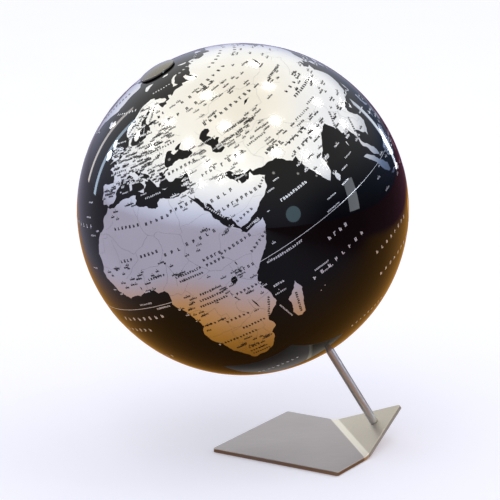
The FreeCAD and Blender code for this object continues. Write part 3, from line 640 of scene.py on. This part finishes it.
class Paint(Graph):
    """A principled material."""

    def __init__(self, name, **values):
        self.material = bpy.data.materials.new(name)
        self.material.use_nodes = True
        super().__init__(self.material.node_tree)
        self.shader = self.tree.nodes["Principled BSDF"]
        for socket, value in values.items():
            self.shader.inputs[socket.replace("_", " ")].default_value = value
        self.coords = self.node("ShaderNodeTexCoord").outputs["Object"]

    def axes(self):
        """The coordinates along X, Y and Z, one by one."""
        return self.node("ShaderNodeSeparateXYZ", {0: self.coords}).outputs

    def placed(self, scale, origin=(0, 0, 0), turn=(0, 0, 0)):
        """Coordinates stretched by a scale, so that long grain can be drawn."""
        stretch = [1 / s for s in scale]
        place = {"Location": origin, "Rotation": turn, "Scale": stretch, "vector_type": "TEXTURE"}
        return self.node("ShaderNodeMapping", {"Vector": self.coords}, **place).outputs["Vector"]

    def noise(self, scale, detail, turn=(0, 0, 0)):
        """Noise of a scale per metre, given for each axis or once for all three."""
        each = scale if isinstance(scale, tuple) else (scale, scale, scale)
        where = {"Vector": self.placed(each, turn=turn)}
        return self.node("ShaderNodeTexNoise", where, Scale=1.0, Detail=detail).outputs["Fac"]

    def spread(self, source, low, high):
        """The middle of a noise stretched to a range of values."""
        ends = {"From_Min": 0.3, "From_Max": 0.7, "To_Min": low, "To_Max": high}
        return self.node("ShaderNodeMapRange", {"Value": source}, **ends).outputs["Result"]

    def give(self, socket, source):
        self.tree.links.new(source, self.shader.inputs[socket])

    def bumped(self, source, strength, distance):
        """The finished material, with its surface raised by a source."""
        made = self.node("ShaderNodeBump", {"Height": source}, Strength=strength, Distance=distance)
        self.give("Normal", made.outputs["Normal"])
        return self.material


def brushed_finish(paint, fine, cloud, rough):
    """Roughness and surface of brushed metal, from its grain and its slow changes."""
    half_each = paint.node("ShaderNodeMix", {"A": fine, "B": cloud}).outputs["Result"]
    paint.give("Roughness", paint.spread(half_each, *rough))
    return paint.bumped(fine, 0.12, 0.04 * MM)


def brushed(name, light, dark, rough, grain, turn):
    """Brushed metal: long fine grain in the colour, the roughness and the surface."""
    paint = Paint(name, Metallic=1.0)
    fine = paint.noise(grain, 4.0, turn)
    cloud = paint.noise(18, 2.0)
    paint.give("Base Color", paint.ramp(fine, (0.25, dark), (0.75, light)))
    return brushed_finish(paint, fine, cloud, (rough - 0.06, rough + 0.06))


def bent_plate():
    """Brushed steel, with a painted highlight along the bend and a painted warm reflection on the wing
    beyond it.
    """
    paint = Paint("plate_steel", Metallic=1.0)
    fine = paint.noise(GRAIN_PLATE, 4.0)
    cloud = paint.noise(16, 2.0)
    flat = paint.ramp(fine, (0.25, (0.36, 0.33, 0.32)), (0.75, (0.46, 0.425, 0.41)))
    # Painted reflection: the wing beyond the bend is painted warmer and lighter than the flat panel,
    # for the different light it reflects.
    wing_painted_reflection = paint.ramp(fine, (0.25, (0.48, 0.44, 0.36)), (0.75, (0.60, 0.55, 0.46)))
    # Painted highlight: the band along the bend is painted much lighter and creamier, standing in for
    # the bright reflection the bend catches.
    bright = paint.ramp(fine, (0.25, (0.74, 0.70, 0.60)), (0.75, (0.87, 0.83, 0.73)))
    along = paint.axes()["X"]
    # These two steps mark out the band of painted highlight along the bend.
    start = paint.smooth(along, BEND_START - MM, BEND_START + 0.4 * MM)
    stop = paint.smooth(along, BEND_END - 0.4 * MM, BEND_END + MM)
    onto_painted_highlight = paint.mix(start, flat, bright)
    paint.give("Base Color", paint.mix(stop, onto_painted_highlight, wing_painted_reflection))
    return brushed_finish(paint, fine, cloud, (0.34, 0.48))


def turned(name, light, dark, rough, centre, pitch):
    """Turned metal: fine rings of a pitch round a point."""
    paint = Paint(name, Metallic=1.0)
    where = {"Vector": paint.placed((1, 1, 1), centre)}
    rings = {"wave_type": "RINGS", "rings_direction": "SPHERICAL", "Scale": RING_SCALE / pitch}
    made = paint.node("ShaderNodeTexWave", where, Distortion=1.5, Detail=3.0, **rings)
    height = made.outputs["Fac"]
    cloud = paint.noise(160, 3.0)
    paint.give("Base Color", paint.ramp(height, (0.0, dark), (1.0, light)))
    paint.give("Roughness", paint.spread(cloud, rough - 0.05, rough + 0.07))
    return paint.bumped(height, 0.1, 0.03 * MM)


def plain(name, light, dark, rough, size, metal=0.0, depth=0.04 * MM, strength=0.3):
    """A moulded, pressed or printed surface with a fine mottle of a given size."""
    paint = Paint(name, Metallic=metal)
    fine = paint.noise(1 / size, 4.0)
    cloud = paint.noise(1 / size / 9, 2.0)
    paint.give("Base Color", paint.ramp(cloud, (0.3, dark), (0.7, light)))
    paint.give("Roughness", paint.spread(fine, rough - 0.06, rough + 0.06))
    return paint.bumped(fine, strength, depth)


def ocean():
    """Deep black lacquer, polished, with the faintest orange peel and polishing haze."""
    paint = Paint("black_lacquer", Metallic=0.0, IOR=1.29)
    haze = paint.noise(14, 3.0)
    peel = paint.noise(260, 2.0)
    deep = (0.0015, 0.0012, 0.0012)
    milky = (0.003, 0.0025, 0.0025)
    paint.give("Base Color", paint.ramp(haze, (0.3, deep), (0.7, milky)))
    paint.give("Roughness", paint.spread(haze, 0.02, 0.05))
    return paint.bumped(peel, 0.04, 0.02 * MM)


def foil():
    """Silver mirror foil under lacquer, with a slightly hazy and uneven polish."""
    paint = Paint("land_foil", Metallic=1.0, Coat_Weight=0.4, Coat_Roughness=0.04)
    haze = paint.noise(22, 3.0)
    fine = paint.noise(420, 3.0)
    dull = (0.80, 0.79, 0.77)
    clear = (0.88, 0.87, 0.85)
    paint.give("Base Color", paint.ramp(haze, (0.3, dull), (0.7, clear)))
    paint.give("Roughness", paint.spread(haze, 0.10, 0.15))
    return paint.bumped(fine, 0.06, 0.02 * MM)


silver = foil()
lacquer = ocean()
rod_steel = brushed("rod_steel", (0.70, 0.69, 0.70), (0.54, 0.53, 0.54), 0.38, GRAIN_ROD, TILT)
alloy = brushed("tube_alloy", (0.80, 0.80, 0.82), (0.66, 0.66, 0.68), 0.30, GRAIN_ROD, TILT)
cap_steel = turned("cap_steel", (0.27, 0.25, 0.21), (0.15, 0.14, 0.12), 0.13, POLE_TOP, 0.6 * MM)
brass = turned("bush_brass", (0.78, 0.60, 0.30), (0.62, 0.45, 0.20), 0.28, GLOBE_CENTRE, 0.8 * MM)
zinc = plain("zinc_steel", (0.52, 0.52, 0.54), (0.40, 0.40, 0.42), 0.32, 1.2 * MM, metal=1.0)
spring = plain("spring_steel", (0.16, 0.16, 0.17), (0.09, 0.09, 0.10), 0.42, 0.8 * MM, metal=1.0)
slip_white = plain("washer_plastic", (0.82, 0.82, 0.80), (0.70, 0.70, 0.68), 0.45, 0.9 * MM)
hub_black = plain("hub_plastic", (0.035, 0.034, 0.033), (0.02, 0.02, 0.02), 0.5, 0.7 * MM)
felt = plain(
    "pad_felt", (0.06, 0.058, 0.055), (0.025, 0.024, 0.023), 0.9, 0.4 * MM, depth=0.3 * MM, strength=0.9
)
ink_dark = plain("dark_ink", (0.012, 0.010, 0.010), (0.004, 0.004, 0.004), 0.25, 0.6 * MM)
ink_pale = plain("pale_ink", (0.86, 0.86, 0.86), (0.70, 0.70, 0.71), 0.30, 0.6 * MM, metal=0.7)
ink_grey = plain("border_ink", (0.50, 0.49, 0.49), (0.40, 0.39, 0.39), 0.3, 0.6 * MM, metal=1.0)

FINISHES = [
    (bent_plate(), "base_plate"),
    (rod_steel, "support_rod"),
    (cap_steel, "pole_cap"),
    (zinc, "rod_screw axle_lock_nut"),
    (slip_white, "north_washer south_washer"),
    (brass, "north_bush south_bush"),
    (spring, "north_bush_clip south_bush_clip"),
    (hub_black, "north_hub south_hub seam_ring"),
    (alloy, "central_tube"),
    (lacquer, "north_hemisphere south_hemisphere"),
    (felt, "foot_pad_tip foot_pad_left foot_pad_right foot_pad_heel"),
]
for finish, node_names in FINISHES:
    for node_name in node_names.split():
        frame["nodes"][node_name].data.materials.clear()
        frame["nodes"][node_name].data.materials.append(finish)

# ---- The globe's skin and its map -----------------------------------------------------------

SKIN_RINGS = 90  # from the equator to the hub
SKIN_SIDES = 360
LINE_SIDES = 720
LINE_HALF_WIDTH = 0.09  # the equator's line, in degrees
BORDER_WIDTH = 0.14  # mm
TOWN_DOT = (-0.3, 0, 0.3, 0.6)  # its box in mm


def hemisphere_skin(name, sign, replaced):
    """A closed shell from the equator to the hub, smooth enough to mirror a room."""
    reach = math.pi / 2 - math.asin(HUB_R / GLOBE_R)
    outward = range(SKIN_RINGS + 1)
    rings = []
    for radius, order in ((GLOBE_R, outward), (GLOBE_INNER_R, reversed(outward))):
        for k in order:
            angle = reach * k / SKIN_RINGS
            rings.append((radius * math.cos(angle), sign * radius * math.sin(angle)))
    verts = []
    for radius, height in rings:
        for j in range(SKIN_SIDES):
            side = sideways(2 * math.pi * j / SKIN_SIDES)
            verts.append(GLOBE_CENTRE + side * radius + NORTH * height)
    faces = []
    for i in range(len(rings)):
        here = i * SKIN_SIDES
        above = (i + 1) % len(rings) * SKIN_SIDES
        for j in range(SKIN_SIDES):
            beside = (j + 1) % SKIN_SIDES
            corners = (here + j, here + beside, above + beside, above + j)
            faces.append(corners[::sign])
    piece = add_mesh(name, verts, faces, lacquer)
    piece.data.polygons.foreach_set("use_smooth", [True] * len(faces))
    piece.data.set_sharp_from_angle(angle=math.radians(30))
    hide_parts(replaced)


def equator():
    """The equator, as a narrow band that the foil covers on land."""
    verts = []
    for k in range(LINE_SIDES):
        for lat in (-LINE_HALF_WIDTH, LINE_HALF_WIDTH):
            verts.append(on_globe(360 * k / LINE_SIDES, lat, LINE_LIFT))
    faces = []
    for k in range(LINE_SIDES):
        a = 2 * k
        b = 2 * ((k + 1) % LINE_SIDES)
        faces.append((a, b, b + 1, a + 1))
    follow_sphere(add_mesh("equator_line", verts, faces, ink_pale))


def borders():
    """Thin lines between countries, which wander like real ones."""
    ink = Ink()
    for values in rows(BORDERS):
        ink.line(wandering_path(pairs(values), *BORDER_WANDER), BORDER_WIDTH)
    ink.build("country_borders", ink_grey)


def town(lon, lat):
    """A small name and a dot."""
    size = random.uniform(1.25, 1.65)
    name_row(lon, lat, random.randint(3, 6), size, size * 0.88)
    ink_at(lon, lat + 1.1).bar(lon, lat + 0.5, 0, TOWN_DOT)


def names():
    """Every name on the map, in two meshes by the colour of their ink."""
    for row in rows(LAND_NAMES) + rows(SEA_NAMES):
        name_row(*row)
    for lon, lat, spread_x, spread_y, count in rows(TOWNS):
        for _ in range(int(count)):
            x = lon + random.uniform(-1, 1) * spread_x
            y = lat + random.uniform(-1, 1) * spread_y
            town(x, y)
    dark_ink.build("map_names_dark", ink_dark)
    pale_ink.build("map_names_pale", ink_pale)


hemisphere_skin("globe_skin_north", 1, "north_hemisphere")
hemisphere_skin("globe_skin_south", -1, "south_hemisphere")
for land_name, land_region in lands.items():
    foil_piece("land_" + land_name, land_region)
equator()
borders()
names()

# ---- Floor, light and camera ----------------------------------------------------------------

FLOOR_GLOW = 0.34
FLOOR_DIM = (0.79, 0.79, 0.86)
FLOOR_CLEAR = (0.80, 0.80, 0.87)
TABLE_EDGES = [("X", -0.42, -0.16), ("X", 1.25, 0.85), ("Y", -0.42, -0.10), ("Y", 1.5, 1.1)]
TABLE_SHADE = (0.15, 0.055, 0.004)  # close under the globe
TABLE_LIT = (0.50, 0.23, 0.04)
TABLE_BEHIND = (0.64, 0.30, 0.065)
HALL_LIT = (0.40, 0.38, 0.50)
HALL_DIM = (0.14, 0.05, 0.08)
ROOM = (0.70, 0.71, 0.76, 1)  # what lights dull surfaces
BACKDROP = (0.93, 0.93, 0.98, 1)  # what the camera sees past the floor
BRIGHT_SIDE = [
    (0.0, (0.46, 0.46, 0.62)),
    (0.12, (0.62, 0.66, 0.86)),
    (0.40, (1.00, 1.02, 1.07)),
    (0.60, (1.12, 1.12, 1.08)),
    (1.0, (1.04, 0.99, 0.87)),
]
DIM_SIDE = [(0.0, (0.05, 0.06, 0.12)), (0.18, (0.14, 0.20, 0.34)), (0.5, (1.00, 1.02, 1.07))]


def floor():
    """A plain pale floor, which glossy surfaces see as a warm table top in a dimmer hall."""
    bpy.ops.mesh.primitive_plane_add(size=60, location=(0, 0, 0))
    plane = bpy.context.object
    plane.name = "studio_floor"
    paint = Paint("studio_floor", Roughness=0.9, Specular_IOR_Level=0.0)
    colour = paint.ramp(paint.noise(2, 2.0), (0.3, FLOOR_DIM), (0.7, FLOOR_CLEAR))
    paint.give("Base Color", colour)
    paint.give("Emission Color", colour)
    paint.shader.inputs["Emission Strength"].default_value = FLOOR_GLOW
    plane.data.materials.append(paint.material)
    axes = paint.axes()
    on_table = None
    for axis, outer, inner in TABLE_EDGES:
        step = paint.smooth(axes[axis], outer, inner)
        if on_table:
            both = {0: on_table, 1: step}
            step = paint.node("ShaderNodeMath", both, operation="MULTIPLY").outputs[0]
        on_table = step
    away = paint.node("ShaderNodeVectorMath", {0: paint.coords}, operation="LENGTH")
    lit = paint.smooth(away.outputs["Value"], 0.0, 0.25)
    behind = paint.smooth(axes["Y"], -0.08, 0.30)
    table = paint.mix(behind, paint.mix(lit, TABLE_SHADE, TABLE_LIT), TABLE_BEHIND)
    hall = paint.mix(paint.smooth(axes["X"], 0.1, 0.8), HALL_LIT, HALL_DIM)
    glow = paint.node("ShaderNodeEmission", {"Color": paint.mix(on_table, hall, table)})
    top = paint.for_ray("Is Glossy Ray", glow.outputs[0], paint.shader.outputs[0])
    paint.tree.links.new(top, paint.tree.nodes["Material Output"].inputs["Surface"])


def surroundings():
    """A pale room, which glossy surfaces see bright overhead and dim at one side."""
    world = bpy.data.worlds.new("studio")
    bpy.context.scene.world = world
    world.use_nodes = True
    world.node_tree.nodes.clear()
    graph = Graph(world.node_tree)
    where = graph.node("ShaderNodeTexCoord").outputs["Generated"]
    axes = graph.node("ShaderNodeSeparateXYZ", {0: where}).outputs
    bright = graph.ramp(axes["Z"], *BRIGHT_SIDE)
    dim = graph.ramp(axes["Z"], *DIM_SIDE)
    sky = graph.mix(graph.smooth(axes["X"], 0.25, 0.75), bright, dim)
    seen = graph.node("ShaderNodeBackground", {"Color": sky}).outputs[0]
    room = graph.node("ShaderNodeBackground", Color=ROOM).outputs[0]
    backdrop = graph.node("ShaderNodeBackground", Color=BACKDROP).outputs[0]
    lit = graph.for_ray("Is Glossy Ray", seen, room)
    shown = graph.for_ray("Is Camera Ray", backdrop, lit)
    graph.node("ShaderNodeOutputWorld", {"Surface": shown})


def add_light(name, kind, power, aim, place=(0, 0, 0), colour=(1, 1, 1)):
    """A lamp that shines along a direction."""
    data = bpy.data.lights.new(name, kind)
    data.energy = power
    data.color = colour
    lamp = bpy.data.objects.new(name, data)
    lamp.location = place
    lamp.rotation_euler = aim.to_track_quat("-Z", "Y").to_euler()
    bpy.context.scene.collection.objects.link(lamp)
    return lamp


def sun(name, direction, strength, angle):
    """A broad even light from a direction, not itself seen in reflections."""
    lamp = add_light(name, "SUN", strength, -Vector(direction))
    lamp.data.angle = math.radians(angle)
    lamp.visible_glossy = False


def round_lamp(name, place, size, power, colour):
    """A round soft lamp, aimed at the globe."""
    lamp = add_light(name, "AREA", power, GLOBE_CENTRE - Vector(place), place, colour)
    lamp.data.shape = "DISK"
    lamp.data.size = size
    return lamp


def light_strip(name, place, width, height, power, colour):
    """An upright lamp that draws a bright line on the globe and doesn't light the floor."""
    aim = GLOBE_CENTRE - Vector(place)
    aim.z = 0
    lamp = add_light(name, "AREA", power, aim, place, colour)
    lamp.data.shape = "RECTANGLE"
    lamp.data.size = width
    lamp.data.size_y = height
    lamp.visible_diffuse = False


LAMP_ROWS = 5
LAMP_COLUMNS = 6
LAMP_PITCH = 1.5
FIRST_LAMP = Vector((-3.75, -3.9, 3.0))
WARM_WHITE = (1.0, 0.97, 0.90)

floor()
surroundings()
sun("key_sun", (-0.5, -0.6, 1.2), 0.35, 40)
sun("fill_sun", (0.9, -0.2, 0.9), 0.25, 50)
for row in range(LAMP_ROWS):
    for column in range(LAMP_COLUMNS):
        spot = FIRST_LAMP + Vector((column, row, 0)) * LAMP_PITCH
        round_lamp("ceiling_lamp_%d%d" % (row, column), spot, 0.14, 0.75, WARM_WHITE)
light_strip("strip_left", (-1.4, 1.3, 0.8), 0.10, 1.2, 3.0, (0.62, 0.80, 1.0))
light_strip("strip_left_far", (-1.1, 1.7, 0.75), 0.10, 1.1, 1.5, (1.0, 0.93, 0.88))
light_strip("strip_right", (1.7, 1.3, 0.75), 0.14, 1.0, 2.5, (0.80, 0.88, 1.0))
light_strip("window_right", (2.16, -0.96, 0.66), 0.36, 0.70, 5.0, (0.86, 0.93, 1.0))
window_front = round_lamp("window_front", (0.81, -2.24, 0.54), 0.42, 2.2, (0.50, 0.82, 0.95))
window_front.visible_diffuse = False

SENSOR = 36
FOCAL_SHARE = 3.6972  # focal length over the picture's width
AZIMUTH = math.radians(-13.5)
ELEVATION = math.radians(13.46)
DISTANCE = 1.7538
BEND_FOOT = Vector((0.103015, 0, 0.0015))  # in the middle of the plate's bend
AIM_LEFT = 0.09591  # from there to the point looked at, across the view
AIM_UP = 0.18036


def view():
    """The camera, looking down on the globe from in front and a little to the left."""
    right = Vector((math.cos(AZIMUTH), math.sin(AZIMUTH), 0))
    level = Vector((math.sin(AZIMUTH), -math.cos(AZIMUTH), 0))
    back = level * math.cos(ELEVATION) + Vector((0, 0, math.sin(ELEVATION)))
    target = BEND_FOOT - right * AIM_LEFT + back.cross(right) * AIM_UP
    data = bpy.data.cameras.new("camera")
    data.sensor_width = SENSOR
    data.lens = SENSOR * FOCAL_SHARE
    data.clip_end = 100
    camera = bpy.data.objects.new("camera", data)
    camera.location = target + back * DISTANCE
    camera.rotation_euler = back.to_track_quat("Z", "Y").to_euler()
    bpy.context.scene.collection.objects.link(camera)
    bpy.context.scene.camera = camera
    bpy.context.scene.view_settings.view_transform = "Standard"


view()
